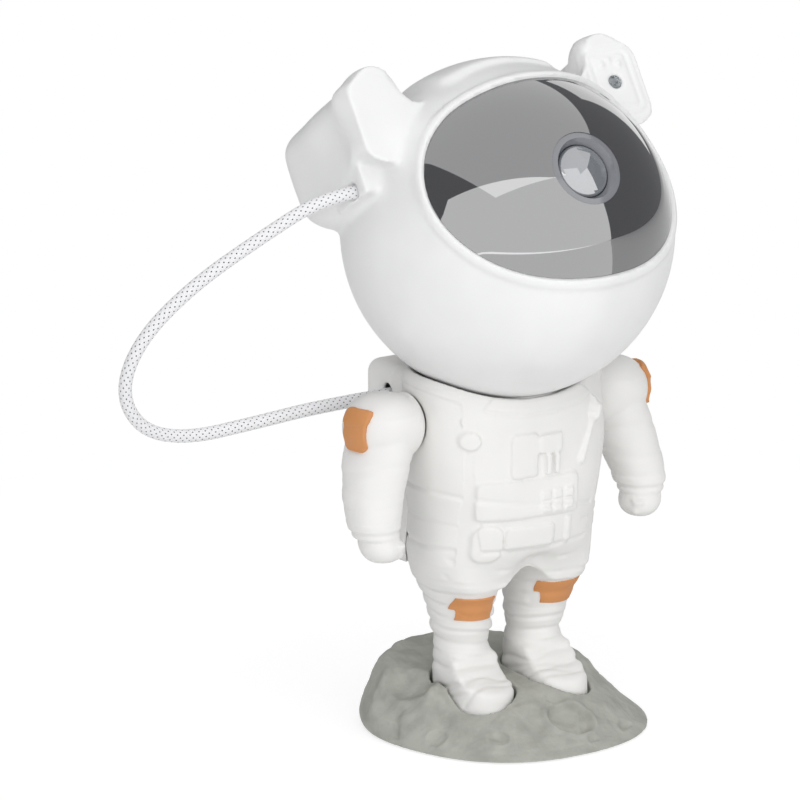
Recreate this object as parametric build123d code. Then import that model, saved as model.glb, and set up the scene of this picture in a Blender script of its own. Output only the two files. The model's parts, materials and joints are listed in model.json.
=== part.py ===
from build123d import *
import math
import os

# Star and nebula projector in the form of a standing astronaut.
# Millimetres, +Z up, the astronaut faces -Y, so its right hand is at -X.
# The origin is the centre of the underside.  A ball-shaped head sits in a seat
# on the neck, held by a magnet, and looks up by rest_tilt at rest.

# ---- head ----
ball_radius = 55.0
ball_height = 169.0
rest_tilt = 33.4
helmet_wall = 2.2
rim_rise = 0.9
rim_width = 3.2
ledge_depth = 2.0
ledge_width = 2.6
visor_thickness = 1.55
visor_gap = 0.15
# Visor opening, right half, as (degrees round, degrees up) seen from the ball's centre.
visor_outline = [(27.5, 41), (44, 35.2), (55.5, 21.8), (58, 8.2), (52.3, -12.4), (33.8, -30.8)]
visor_top = 43.6
visor_bottom = -38.4
crown_half_width = 23.0
crown_front = -26.0
crown_rear = 26.0
crown_rise = 2.0
cap_elevation = 15.0
cap_half_angle = 38.0

# ---- ear pods ----
pod_front = -21.0
pod_rear = 28.5
pod_reach = 57.0
laser_x = 46.1
laser_z = 38.4
laser_hole_radius = 2.4
laser_body_radius = 4.4
laser_body_length = 20.0

# ---- projector inside the head, measured along the optical axis from the ball's centre ----
lens_radius = 9.2
lens_seat = 45.5
bezel_radius = 12.6
housing_front = 44.0
housing_rear = 35.0
housing_wall = 1.5
housing_gap = 0.45
disc_offset = 10.0
disc_teeth = 36
pinion_teeth = 12
gear_module = 0.8
addendum = 0.76
dedendum = 1.0
gear_thickness = 2.4
gear_front = 41.6
axle_radius = 1.0
window_radius = 12.0
pinion_angle = 30.0  # a tooth of the disc lies on the line of centres

# ---- body ----
shoulder_x = 45.0
shoulder_y = 6.0
shoulder_z = 108.0
shoulder_radius = 13.6
shoulder_gap = 0.35
pin_radius = 4.0
pin_flange_radius = 5.6
body_wall = 2.4
hem_radius = 5.0
dish_radius = 55.8
seat_radius = 17.5
seat_floor = 105.0
magnet_radius = 10.0
running_gap = 0.05

# ---- backpack ----
pack_half_width = 29.0
pack_rear = 41.0
pack_bottom = 55.0
pack_top = 121.5
pack_wall = 2.0
button_radius = 3.8
button_travel = 0.8
button_height = 101.0
button_spacing = 18.0
socket_height = 66.0
cover_inner = 39.2  # depth of the cover's inner face

# ---- cord ----
cord_radius = 2.2
cord_start_x = -52.0
cord_end_x = -25.5
cord_route = [
    (cord_start_x, 6, 188),
    (-68, 6, 188),
    (-91, 11, 175.5),
    (-112, 17, 162),
    (-129, 22, 145.5),
    (-134, 26, 128),
    (-125, 28, 113.5),
    (-107, 28.5, 108),
    (-82, 28, 110.5),
    (-54, 28, 113),
    (cord_end_x, 28, 113),
]

# ---- base ----
base_radius = 47.8
plateau_height = 17.9
plateau_lean = 4.5
recess_floor = 9.5
boot_gap = 0.9
foot_x = 15.0
toe_y = -8.5
heel_y = 6.0
toe_radius = 10.0
heel_radius = 9.4
rim_low = 0.4
floor_low = 0.5
floor_top = 2.5
pad_height = 1.0
pad_radius = 27.4

head_place = Pos(0, 0, ball_height) * Rot(-rest_tilt, 0, 0)
optic_plane = Plane(origin=(0, 0, 0), x_dir=(1, 0, 0), z_dir=(0, -1, 0))


def in_head(piece):
    """A piece built about the ball's centre, looking along -Y, set at the rest tilt."""
    return head_place * piece


def tube(radius, low, high, x=0.0, y=0.0):
    """Upright cylinder from one height to another."""
    return Pos(x, y, low) * Cylinder(radius, high - low, align=(Align.CENTER, Align.CENTER, Align.MIN))


def bar_x(radius, x_low, x_high, y, z):
    """Cylinder lying along X."""
    return Pos(x_low, y, z) * Rot(0, 90, 0) * tube(radius, 0, x_high - x_low)


def bar_y(radius, y_low, y_high, x, z):
    """Cylinder lying along Y."""
    return Pos(x, y_low, z) * Rot(-90, 0, 0) * tube(radius, 0, y_high - y_low)


def block(x, y, z, radius=0.0):
    """Box given by its low and high X, Y and Z, with its upright edges rounded."""
    centre = ((x[0] + x[1]) / 2, (y[0] + y[1]) / 2, (z[0] + z[1]) / 2)
    solid = Pos(*centre) * Box(x[1] - x[0], y[1] - y[0], z[1] - z[0])
    if radius:
        solid = fillet(solid.edges().filter_by(Axis.Z), radius)
    return solid


def mirrored(piece):
    """The same piece on the other side of the figure."""
    return mirror(piece, Plane.YZ)


def group(pieces):
    """Several separate solids kept together."""
    return Compound(children=list(pieces))


def oval(z, half_width, half_depth, x=0.0, y=0.0, squareness=2.0):
    """Level section through the figure: an ellipse, or squarer above a squareness of 2."""
    points = []
    for step in range(16):
        angle = math.radians(22.5 * step)
        c = math.cos(angle)
        s = math.sin(angle)
        across = half_width * math.copysign(abs(c) ** (2 / squareness), c)
        along = half_depth * math.copysign(abs(s) ** (2 / squareness), s)
        points.append((x + across, y + along))
    return Pos(0, 0, z) * make_face(Spline(*points, periodic=True))


# ---------------------------------------------------------------- base


def base_outline(z):
    """Contour of the rock at a height: it falls away gently in front and steeply behind."""
    points = []
    for step in range(24):
        angle = math.radians(15 * step)
        ragged = 2.0 * math.cos(angle - 0.7) + 0.9 * math.cos(3 * angle + 0.4) + 0.5 * math.sin(5 * angle)
        bulge = 5.2 * max(0.0, math.cos(angle - math.radians(150))) ** 2 * min(1.0, z / 5) * (1 - z / 45)
        slope = 0.62 + 2.5 * ((1 + math.sin(angle)) / 2) ** 3
        rounding = 1.6 * max(0.0, (z - plateau_height + 2.5) / 2.5) ** 2
        reach = base_radius + ragged + bulge - z / slope - rounding
        points.append((reach * math.cos(angle), reach * math.sin(angle)))
    lean = plateau_lean * (z - rim_low) / (plateau_height - rim_low)
    return Pos(0, 0, z) * Rot(lean, 0, 0) * make_face(Spline(*points, periodic=True))


def boot_plan(grow):
    """Plan of one boot, toe and heel circles joined by their tangents."""
    toe = Pos(foot_x, toe_y) * Circle(toe_radius + grow)
    heel = Pos(foot_x - 0.8, heel_y) * Circle(heel_radius + grow)
    return make_hull(toe.edges() + heel.edges())


def boot_screw_places():
    return [(side * foot_x, 0.0) for side in (-1, 1)]


def base_screw_places():
    return [(31 * math.cos(a), 31 * math.sin(a)) for a in (math.radians(45 + 90 * i) for i in range(4))]


def moon_base():
    rock = loft([base_outline(z) for z in (rim_low, 4.0, 8.0, 12.0, 15.5, plateau_height)])
    recess = Pos(0, 0, recess_floor) * extrude(boot_plan(boot_gap), amount=30)
    rock -= recess
    rock -= mirrored(recess)
    rock -= Pos(5, -29.5, 19.6) * Sphere(12.0)
    rock -= Pos(-22.6, -28.2, 9.8) * Sphere(5.0)
    rock -= Pos(-34, 10, 27.0) * Sphere(14.0)
    hollow = tube(30.5, 0, 6.0)
    for x, y in base_screw_places():
        hollow -= tube(4.0, floor_top, 7.0, x, y)
    for x, y in boot_screw_places():
        hollow -= tube(4.5, floor_top, 7.0, x, y)
    rock -= tube(36.0, 0, floor_top)
    rock -= hollow
    for x, y in base_screw_places():
        rock -= tube(1.3, floor_top, 6.2, x, y)
    for x, y in boot_screw_places():
        rock -= tube(1.7, floor_top, recess_floor + 1, x, y)
    return rock


def base_floor():
    plate = tube(35.8, floor_low, floor_top)
    for x, y in base_screw_places():
        plate -= tube(1.7, 0, floor_top, x, y)
        plate -= tube(3.0, 0, floor_low + 1.2, x, y)
    for x, y in boot_screw_places():
        plate -= tube(3.6, 0, floor_top, x, y)
    return plate - tube(pad_radius + 0.05, 0, pad_height)


def base_pad():
    """Rubber disc that the lamp stands on; it hides the two boot screws."""
    return tube(pad_radius, 0, pad_height)


def screw(head_radius, head_height, shank_radius, length):
    """Pan-head screw standing on its head's outer face, shank upwards."""
    body = tube(head_radius, 0, head_height) + tube(shank_radius, head_height, head_height + length)
    slot = Pos(0, 0, head_height * 0.25) * Box(head_radius * 1.1, 0.5, head_height * 0.5)
    return body - slot - Rot(0, 0, 90) * slot


def base_screws():
    return group(Pos(x, y, floor_low + 0.2) * screw(2.7, 1.0, 1.25, 3.9) for x, y in base_screw_places())


def boot_screws():
    return group(Pos(x, y, floor_top - 1.4) * screw(3.2, 1.4, 1.6, 14.0) for x, y in boot_screw_places())


# ---------------------------------------------------------------- suit body


def torso_form(grow):
    """Trunk of the suit, grown or shrunk all round, its hem rounded."""
    g = grow
    trunk = loft(
        [
            oval(50.3, 30.9 + g, 22.6 + g, y=4.5, squareness=2.2),
            oval(56.0, 31.2 + g, 24.5 + g, y=4.5, squareness=2.3),
            oval(65.0, 31.6 + g, 25.0 + g, y=4.2, squareness=2.3),
            oval(75.0, 31.2 + g, 25.0 + g, y=3.0, squareness=2.4),
            oval(88.0, 33.4 + g, 24.5 + g, y=2.6, squareness=2.6),
            oval(100.0, 34.4 + g, 24.0 + g, y=2.4, squareness=2.7),
            oval(112.0, 34.0 + g, 22.8 + g, y=2.2, squareness=2.6),
            oval(126.0, 31.5 + g, 21.0 + g, y=2.0, squareness=2.4),
        ]
    )
    return fillet(trunk.faces().sort_by(Axis.Z)[0].edges(), hem_radius)


def leg_form(grow=0.0):
    """One trouser leg with its soft horizontal folds, on the figure's left."""
    sections = []
    for step in range(11):
        up = step / 10
        fold = 0.0 if step < 2 else 0.3 * (-1) ** step
        width = 8.2 + 4.6 * up**1.4 + fold + grow
        depth = 8.5 + 8.0 * up**1.4 + fold + grow
        sections.append(oval(23.0 + 31.5 * up, width, depth, x=14.4 + 2.9 * up**2, y=5.7 - 1.2 * up))
    return loft(sections)


def boot_form():
    """One boot: the plan of the foot, cut to a toe cap, instep and cuff in side view."""
    block_form = Pos(0, 0, recess_floor) * extrude(boot_plan(0), amount=17.5)
    low = recess_floor
    with BuildSketch(Plane.YZ) as side:
        with BuildLine():
            Line((-20, low), (-20, low + 3))
            Spline((-20, low + 3), (-16.5, 17.8), (-9.5, 20.6), (-5.2, 24.0), (-3.6, 27.0), tangents=((0, 1), (0.3, 1)))
            Line((-3.6, 27.0), (17, 27.0))
            Line((17, 27.0), (17, low))
            Line((17, low), (-20, low))
        make_face()
    boot = block_form & extrude(side.sketch, amount=60)
    top = boot.faces().filter_by(GeomType.BSPLINE) + boot.faces().filter_by(GeomType.EXTRUSION)
    if top:
        crease = top[0].edges().filter_by(GeomType.LINE, reverse=True)
        boot = fillet(crease.filter_by(lambda e: e.center().Z > low + 4), 1.6)
    return boot


def raised(outline, height):
    """A pad of cloth or gear that stands off the trunk's front by a height."""
    column = Pos(0, -60, 0) * extrude(Plane.XZ * outline, amount=-46.5)
    return column & torso_form(height)


def panel(x, z, radius):
    """Rounded rectangle in front view, given by its low and high X and Z."""
    width = x[1] - x[0]
    height = z[1] - z[0]
    return Pos((x[0] + x[1]) / 2, (z[0] + z[1]) / 2) * RectangleRounded(width, height, radius)


def suit_body():
    """The moulded suit before it is split: trunk, legs and boots, hollow at the waist, dished at the neck."""
    leg = leg_form() + boot_form()
    body = torso_form(0.0) + leg + mirrored(leg)
    body -= Pos(0, 0, ball_height) * Sphere(dish_radius)
    return body - block((-26, 26), (-15, 22), (62, 93), 9.0)


def chest_gear():
    """What stands off the front: chest box and plate, hip tab, pouch, a hose end and the box's keys."""
    chest_box = panel((-24.5, 13.2), (77.6, 90.0), 1.5)
    chest_plate = panel((-13.0, -3.2), (91.0, 105.6), 1.2)
    hip_tab = panel((-24.6, -15.6), (62.6, 75.2), 3.6)
    pouch = panel((-14.4, 3.0), (66.0, 74.2), 1.2)
    hose_end = Pos(-26.4, 104.8) * Circle(3.0)
    pads = [raised(outline, 1.2) for outline in (chest_box, chest_plate, hip_tab, pouch, hose_end)]
    for x in (-0.4, 4.2, 8.8):
        for z in (80.4, 84.4):
            pads.append(block((x - 1.6, x + 1.6), (-24.0, -15), (z - 1.4, z + 1.4)))
    for x in (1.0, 4.3):
        pads.append(block((x - 1.0, x + 1.0), (-23.8, -15), (91.0, 97.6)))
    pads.append(block((-2.2, 6.4), (-23.2, -15), (98.4, 104.6)))
    return pads


def fit_half(half):
    """Cuts the neck's seat, the sockets of the shoulders, their pins' bores and the boots' screw holes."""
    half -= tube(seat_radius + running_gap, seat_floor, 125)
    for side in (-1, 1):
        half -= Pos(side * shoulder_x, shoulder_y, shoulder_z) * Sphere(shoulder_radius + shoulder_gap)
        low, high = sorted((side * 21.5, side * 36))
        half -= bar_x(pin_radius + running_gap, low, high, shoulder_y, shoulder_z)
        low, high = sorted((side * 21.5, side * 24.6))
        half -= bar_x(pin_flange_radius + 0.2, low, high, shoulder_y, shoulder_z)
    for x, y in boot_screw_places():
        half -= tube(1.62, recess_floor - 1, 17, x, y)
    return half


def torso_halves():
    body = suit_body()
    front = body & block((-60, 60), (-60, shoulder_y), (0, 140))
    for pad in chest_gear():
        front += pad
    rear = body & block((-60, 60), (shoulder_y, 60), (0, 140))
    return fit_half(front), fit_half(rear)


def knee_patch(side, low, high):
    """Thin patch wrapped on the front of a shin, its edge stepped on the figure's right."""
    step = low + 1.5
    outline = Polyline((low, 48.9), (high, 48.9), (high, 40.4), (step, 40.4), (step, 44.4), (low, 44.4), close=True)
    column = Pos(0, -40, 0) * extrude(Plane.XZ * make_face(outline), amount=-42)
    leg = leg_form() if side > 0 else mirrored(leg_form())
    cloth = leg_form(0.5) if side > 0 else mirrored(leg_form(0.5))
    return (column & cloth) - leg


# ---------------------------------------------------------------- arms


def arm_form(grow):
    """The left arm: a ball at the shoulder, sleeve, cuff and mitten."""
    g = grow
    sleeve = loft(
        [
            oval(106.0, 9.5 + g, 12.8 + g, x=46.4, y=5.8),
            oval(99.0, 11.0 + g, 12.6 + g, x=48.0, y=4.8),
            oval(91.0, 10.6 + g, 11.2 + g, x=50.6, y=3.2),
            oval(84.0, 9.7 + g, 9.9 + g, x=52.5, y=1.2),
            oval(77.5, 8.6 + g, 8.7 + g, x=53.4, y=-0.8),
            oval(73.5, 7.6 + g, 7.6 + g, x=53.2, y=-1.8),
        ]
    )
    ball = Pos(shoulder_x, shoulder_y, shoulder_z) * Sphere(shoulder_radius + g)
    return sleeve + ball


def mitten():
    """Closed hand below the cuff, with the thumb to the front."""
    palm = loft(
        [
            oval(74.2, 6.0, 6.0, x=53.0, y=-2.0),
            oval(72.0, 6.9, 7.2, x=52.6, y=-2.4),
            oval(68.0, 6.4, 6.8, x=52.0, y=-3.0),
            oval(65.6, 4.2, 4.6, x=51.8, y=-3.2),
            oval(64.8, 1.6, 1.8, x=51.8, y=-3.2),
        ]
    )
    thumb = Pos(48.6, -7.0, 70.2) * Rot(20, -12, 0) * Cylinder(2.4, 4.0) + Pos(48.4, -6.4, 68.3) * Sphere(2.4)
    return palm + thumb


def arm():
    limb = arm_form(0) + mitten()
    limb -= block((20, 33.2), (-20, 30), (80, 130))
    return limb - bar_x(pin_radius, 33, 42, shoulder_y, shoulder_z)


def shoulder_pin():
    """Pin fixed in the arm; its flange is trapped between the two torso shells."""
    pin = bar_x(pin_radius, 21.8, 42, shoulder_y, shoulder_z)
    return pin + bar_x(pin_flange_radius, 21.8, 24.4, shoulder_y, shoulder_z)


def arm_patch():
    """Flapped pocket on the outside of the upper arm."""
    pocket = Pos(52, 0, 0) * extrude(Plane.YZ * Pos(3.5, 109.0) * RectangleRounded(9.6, 14.0, 2.0), amount=12)
    lid = Pos(52, 0, 0) * extrude(Plane.YZ * Pos(3.5, 113.4) * RectangleRounded(10.2, 5.0, 1.5), amount=12)
    ball = Pos(shoulder_x, shoulder_y, shoulder_z)
    patch = (pocket & arm_form(1.2)) + (lid & ball * Sphere(shoulder_radius + 1.9))
    return patch - arm_form(0)


# ---------------------------------------------------------------- neck


def seat_ring():
    ring = tube(seat_radius, seat_floor + running_gap, 122)
    ring -= tube(magnet_radius, seat_floor, 122)
    return ring - Pos(0, 0, ball_height) * Sphere(ball_radius + running_gap)


def neck_magnet():
    return tube(magnet_radius, seat_floor + running_gap, seat_floor + 6.1)


# ---------------------------------------------------------------- backpack


def pack_block(inset, front, rear):
    """Rounded box of the backpack, drawn in by an inset, between two depths."""
    outline = RectangleRounded(2 * (pack_half_width - inset), pack_top - pack_bottom - 2 * inset, 4.5 - inset * 0.5)
    face = Plane.XZ * Pos(0, (pack_top + pack_bottom) / 2) * outline
    return Pos(0, front, 0) * extrude(face, amount=front - rear)


def backpack():
    case = pack_block(0, 10, pack_rear)
    case = fillet(case.faces().sort_by(Axis.Y)[-1].edges(), 3.0)
    case -= torso_form(running_gap)
    case -= Pos(0, 0, ball_height) * Sphere(dish_radius)
    case -= pack_block(pack_wall, 30.5, cover_inner)
    case -= pack_block(4.0, 37, pack_rear)
    for x, z in pack_screw_places():
        case += bar_y(2.6, 30, cover_inner, x, z)
        case -= bar_y(1.22, 32, 40, x, z)
    for x in (-13, 13):
        for z in (66, 100):
            case += bar_y(1.6, 30, 32, x, z)
    case -= bar_x(cord_radius + 0.25, -30, -20, 28, 113)
    case -= block((-27, -17.5), (24.5, 31.5), (109.5, 116.5))
    return case


def pack_screw_places():
    return [(x, z) for x in (-20, 20) for z in (63, 106)]


def backpack_cover():
    cover = pack_block(4.15, cover_inner, pack_rear)
    cover -= Pos(0, 0, ball_height) * Sphere(dish_radius)
    for side in (-1, 1):
        cover -= bar_y(button_radius + 0.1, 36, 42, side * button_spacing / 2, button_height)
    slot = RectangleRounded(9.4, 3.6, 1.7)
    cover -= Pos(0, 36, 0) * extrude(Plane.XZ * Pos(0, socket_height) * slot, amount=-8)
    for x, z in pack_screw_places():
        cover -= bar_y(1.3, 36, 42, x, z)
        cover -= bar_y(2.4, pack_rear - 0.9, 42, x, z)
    return cover


def cover_pan_screws():
    place = [Pos(x, pack_rear - 0.1, z) * Rot(90, 0, 0) for x, z in pack_screw_places()]
    return group(spot * screw(2.2, 0.8, 1.2, 3.6) for spot in place)


def control_board():
    return block((-16.5, 16.5), (32.0, 33.4), (61, 105))


def key_switches():
    switches = []
    for side in (-1, 1):
        x = side * button_spacing / 2
        body = block((x - 3, x + 3), (33.4, 35.4), (button_height - 3, button_height + 3))
        switches.append(body + bar_y(1.6, 35.4, 35.9, x, button_height))
    return group(switches)


def button(side):
    """Round key with a flange behind the cover; it stops on its switch."""
    x = side * button_spacing / 2
    cap = bar_y(button_radius, 36.8, pack_rear + 1.3, x, button_height)
    cap = fillet(cap.edges().sort_by(Axis.Y)[-1], 0.5)
    return cap + bar_y(button_radius + 0.9, 36.8, cover_inner - 0.05, x, button_height)


def power_socket():
    """Reversible charging inlet with its tongue."""
    shell = RectangleRounded(8.9, 3.2, 1.55)
    mouth = RectangleRounded(8.3, 2.6, 1.25)
    body = Pos(0, 33.4, 0) * extrude(Plane.XZ * Pos(0, socket_height) * shell, amount=-7.2)
    body -= Pos(0, 34.4, 0) * extrude(Plane.XZ * Pos(0, socket_height) * mouth, amount=-7.2)
    return body + block((-3.3, 3.3), (34.0, 39.6), (socket_height - 0.35, socket_height + 0.35))


def backpack_cord_clamp():
    clamp = block((cord_end_x, -18), (25, 31), (110, 116), 1.0)
    return clamp


# ---------------------------------------------------------------- helmet


def gnomonic(around, up):
    """A direction from the ball's centre as a point on the plane one unit in front."""
    return (math.tan(math.radians(around)), math.tan(math.radians(up)) / math.cos(math.radians(around)))


def visor_cone(grow):
    """Cone from the ball's centre through the visor opening, its edge moved out by a distance."""
    half = [gnomonic(*place) for place in visor_outline]
    points = [gnomonic(0, visor_top), *half, gnomonic(0, visor_bottom)]
    points += [(-x, z) for x, z in reversed(half)]
    moved = []
    for x, z in points:
        reach = math.hypot(x, z)
        angle = math.atan(reach) + grow / ball_radius
        moved.append((x / reach * math.tan(angle), z / reach * math.tan(angle)))
    sections = []
    for depth in (16.0, 62.0):
        flat = make_face(Spline(*[(x * depth, z * depth) for x, z in moved], periodic=True))
        sections.append(Pos(0, -depth, 0) * (Plane.XZ * flat))
    return loft(sections, ruled=True)


def cap_half_space():
    """Everything behind the joint between the helmet's front shell and rear cap."""
    distance = ball_radius * math.cos(math.radians(cap_half_angle))
    return Rot(cap_elevation, 0, 0) * Pos(0, distance + 40, 0) * Box(120, 80, 120)


def crown():
    """Raised panel over the top of the helmet."""
    column = block((-crown_half_width, crown_half_width), (crown_front, crown_rear), (20, 62), 6.0)
    return column & Sphere(ball_radius + crown_rise)


def hanger_height(low, high):
    """Height of a hanger's screw, a little inside the end nearer to the lens."""
    return low + 3.6 if low > 0 else high - 3.6


def cord_in_head():
    """Height and depth of the cord's outlet, in the head's own frame."""
    tilt = math.radians(rest_tilt)
    out_y = cord_route[0][1]
    out_z = cord_route[0][2] - ball_height
    return (out_y * math.cos(tilt) - out_z * math.sin(tilt), out_y * math.sin(tilt) + out_z * math.cos(tilt))


def helmet_shells():
    ball = Sphere(ball_radius) + crown()
    ball += visor_cone(rim_width) & Sphere(ball_radius + rim_rise)
    inner = Sphere(ball_radius - helmet_wall)
    ledge = (inner & visor_cone(1.5)) - Sphere(ball_radius - helmet_wall - ledge_depth) - visor_cone(-ledge_width)
    shell = ball - inner - visor_cone(0) + ledge
    shell -= bar_x(4.05, -60, -40, *cord_in_head())
    for low, high in ((-46, -28.5), (27, 46)):
        post = block((-4, 4), (-housing_rear, 8 - housing_rear), (low, high)) & Sphere(ball_radius - 1)
        shell += post - bar_y(1.25, -housing_rear - 1, 6 - housing_rear, 0, hanger_height(low, high))
    rear = shell & cap_half_space()
    front = shell - cap_half_space()
    distance = ball_radius * math.cos(math.radians(cap_half_angle))
    lip_radius = math.sqrt((ball_radius - helmet_wall) ** 2 - distance**2) - 0.2
    lip = bar_y(lip_radius, distance - 3, distance + 1.2, 0, 0) - bar_y(lip_radius - 1.6, distance - 4, distance + 2, 0, 0)
    rear += Rot(cap_elevation, 0, 0) * lip
    return front, rear


def visor():
    pane = visor_cone(-visor_gap) & Sphere(ball_radius - 0.6)
    pane -= Sphere(ball_radius - 0.6 - visor_thickness)
    return pane - bar_y(bezel_radius + 0.05, -60, -40, 0, 0)


def optic(piece):
    """A piece drawn with the optical axis as +Z, turned to look along -Y."""
    return optic_plane.location * piece


def lens_bezel():
    """Funnel round the lens, its mouth following the visor's curve."""
    sleeve = tube(bezel_radius, lens_seat + 0.4, 56) & Sphere(ball_radius - 0.9)
    sleeve -= tube(lens_radius + 0.1, lens_seat, 56)
    funnel = Pos(0, 0, 53) * Cone(lens_radius + 0.1, bezel_radius - 0.7, 5.2)
    return optic(sleeve - funnel)


def projection_lens():
    """Clear lens with a domed front and a rim to hold it by."""
    dome = Pos(0, 0, lens_seat - 6.0) * Sphere(11.0) & tube(lens_radius - 0.2, lens_seat - 1.8, 56)
    return optic(dome + tube(lens_radius + 1.0, lens_seat - 1.8, lens_seat + 0.4))


def housing_plan(grow):
    """Outline round the nebula disc and its pinion."""
    past_pitch = addendum + housing_gap + housing_wall + grow
    disc = Pos(0, -disc_offset) * Circle(disc_teeth * gear_module / 2 + past_pitch)
    pinion = Pos(*pinion_place()) * Circle(pinion_teeth * gear_module / 2 + past_pitch)
    eye = Circle(lens_radius + 2.4 + grow)
    return make_hull(disc.edges() + pinion.edges() + eye.edges())


def pinion_place():
    reach = (disc_teeth + pinion_teeth) * gear_module / 2
    angle = math.radians(pinion_angle)
    return (reach * math.cos(angle), reach * math.sin(angle) - disc_offset)


def lens_barrel():
    """Front half of the projector's housing, with the tube that holds the lens."""
    body = Pos(0, 0, housing_rear + 1.6) * extrude(housing_plan(0), amount=housing_front - housing_rear - 1.6)
    body -= Pos(0, 0, housing_rear + 1.6) * extrude(
        housing_plan(-housing_wall), amount=housing_front - housing_rear - 1.6 - 1.4
    )
    body += tube(lens_radius + 2.2, housing_front - 1.4, lens_seat + 0.4)
    body -= tube(lens_radius + 1.05, lens_seat - 1.8, lens_seat + 2)
    body -= tube(lens_radius - 1.0, housing_front - 4, lens_seat)
    body += Pos(0, -disc_offset, 0) * tube(2.0, gear_front + 0.2, housing_front - 1.0)
    body -= Pos(0, -disc_offset, 0) * tube(axle_radius + 0.02, gear_front - 2, gear_front + 1.8)
    return optic(body)


def projector_cover():
    """Rear half of the housing and its two hangers; it holds the light, the axle and the motor."""
    plate = Pos(0, 0, housing_rear) * extrude(housing_plan(0), amount=1.6)
    for low, high in ((-35.5, -20), (5, 34)):
        plate += Pos(0, (low + high) / 2, housing_rear + 0.8) * Box(8, high - low, 1.6)
        plate -= tube(1.4, housing_rear - 1, housing_rear + 3, 0, 30.6 if low > 0 else -32.1)
    plate -= tube(6.6, housing_rear - 1, housing_rear + 3)
    axle_boss = tube(2.6, housing_rear, gear_front - gear_thickness - 0.2) - tube(axle_radius + 0.02, 0, gear_front)
    plate -= Pos(0, -disc_offset, 0) * tube(2.6, housing_rear, housing_rear + 3)
    plate += Pos(0, -disc_offset, 0) * axle_boss
    plate -= tube(1.6, housing_rear - 1, housing_rear + 3, *pinion_place())
    return optic(plate)


def hanger_screws():
    head_face = housing_rear + 1.6 + 1.0
    places = [(0, 30.6), (0, -32.1)]
    return optic(group(Pos(x, y, head_face) * Rot(180, 0, 0) * screw(2.3, 1.0, 1.2, 7.0) for x, y in places))


def gear_blank(teeth, thickness):
    """Straight-toothed gear whose teeth are drawn from the pitch circle."""
    pitch = teeth * gear_module / 2
    root = pitch - dedendum
    tip = pitch + addendum
    share = math.pi / teeth
    points = []
    for tooth in range(teeth):
        middle = 2 * math.pi * tooth / teeth
        for radius, half in ((root, 0.78), (pitch, 0.46), (tip, 0.2)):
            points.append((radius, middle - half * share))
        for radius, half in ((tip, 0.2), (pitch, 0.46), (root, 0.78)):
            points.append((radius, middle + half * share))
    outline = Polyline(*[(r * math.cos(a), r * math.sin(a)) for r, a in points], close=True)
    return extrude(make_face(outline), amount=thickness)


def disc_gear():
    """Toothed carrier of the nebula disc, open between its rim and hub."""
    gear = gear_blank(disc_teeth, gear_thickness)
    window = Circle(window_radius) - Circle(4.4)
    gear -= extrude(window, amount=gear_thickness)
    for i in range(3):
        spoke = Rot(0, 0, 120 * i + 30) * Pos(8.2, 0, 0.4) * Box(9, 1.6, 0.8)
        gear += spoke
    gear -= tube(axle_radius + running_gap, -1, gear_thickness + 1)
    return optic(Pos(0, -disc_offset, gear_front - gear_thickness) * gear)


def nebula_disc():
    """Rippled glass disc carried by the gear."""
    disc = extrude(Circle(window_radius - 0.05) - Circle(4.45), amount=1.2)
    for i in range(3):
        angle = math.radians(120 * i + 90)
        ripple = Pos(8.2 * math.cos(angle), 8.2 * math.sin(angle), 4.6) * Sphere(3.9)
        disc -= ripple
    return optic(Pos(0, -disc_offset, gear_front - gear_thickness + 0.8) * disc)


def disc_axle():
    axle = tube(axle_radius, housing_rear + 0.2, gear_front + 1.6)
    return optic(Pos(0, -disc_offset, 0) * axle)


def motor_pinion():
    half_tooth = 180 / pinion_teeth
    gear = Rot(0, 0, pinion_angle + 180 + half_tooth) * gear_blank(pinion_teeth, gear_thickness)
    gear += tube(1.2, -gear_thickness - 1.4, 0)
    px, py = pinion_place()
    return optic(Pos(px, py, gear_front - gear_thickness) * gear)


def disc_motor():
    px, py = pinion_place()
    can = tube(6.0, housing_rear - 14, housing_rear, px, py)
    return optic(can - tube(1.3, housing_rear - 3.2, housing_rear + 1, px, py))


def led_collimator():
    cone = Pos(0, 0, housing_rear + 0.7) * Cone(2.6, 6.0, 4.6)
    return optic(cone + tube(7.1, housing_rear + 1.6, housing_rear + 2.2))


def led_board():
    board = tube(10.0, housing_rear - 3.4, housing_rear - 2.0)
    return optic(board + Pos(0, 0, housing_rear - 2.0) * Cone(2.4, 2.0, 0.4, align=(Align.CENTER, Align.CENTER, Align.MIN)))


def heat_sink():
    """Finned aluminium block behind the light."""
    back = housing_rear - 3.4
    base = Pos(0, 0, back - 1.2) * Box(19, 19, 2.4)
    for i in range(6):
        base += Pos(-9 + 3.6 * i, 0, back - 7.2) * Box(1.0, 19, 9.8)
    return optic(base)


def light_posts():
    """Two spacers that hang the light's board from the cover."""
    posts = [tube(1.5, housing_rear - 2.0, housing_rear, x, y) for x, y in ((-6.4, 5.6), (-6.4, -5.6), (6.0, -6.0))]
    return optic(group(posts))


def helmet_plate():
    """Steel cap inside the helmet, over the stretch that passes the magnet."""
    outer = ball_radius - helmet_wall - 0.1
    dome = Sphere(outer) - Sphere(outer - 1.0)
    dome &= Pos(0, 0, -outer) * Cylinder(30.0, 2 * outer * (1 - math.cos(math.radians(34))))
    return Rot(22, 0, 0) * dome


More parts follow.
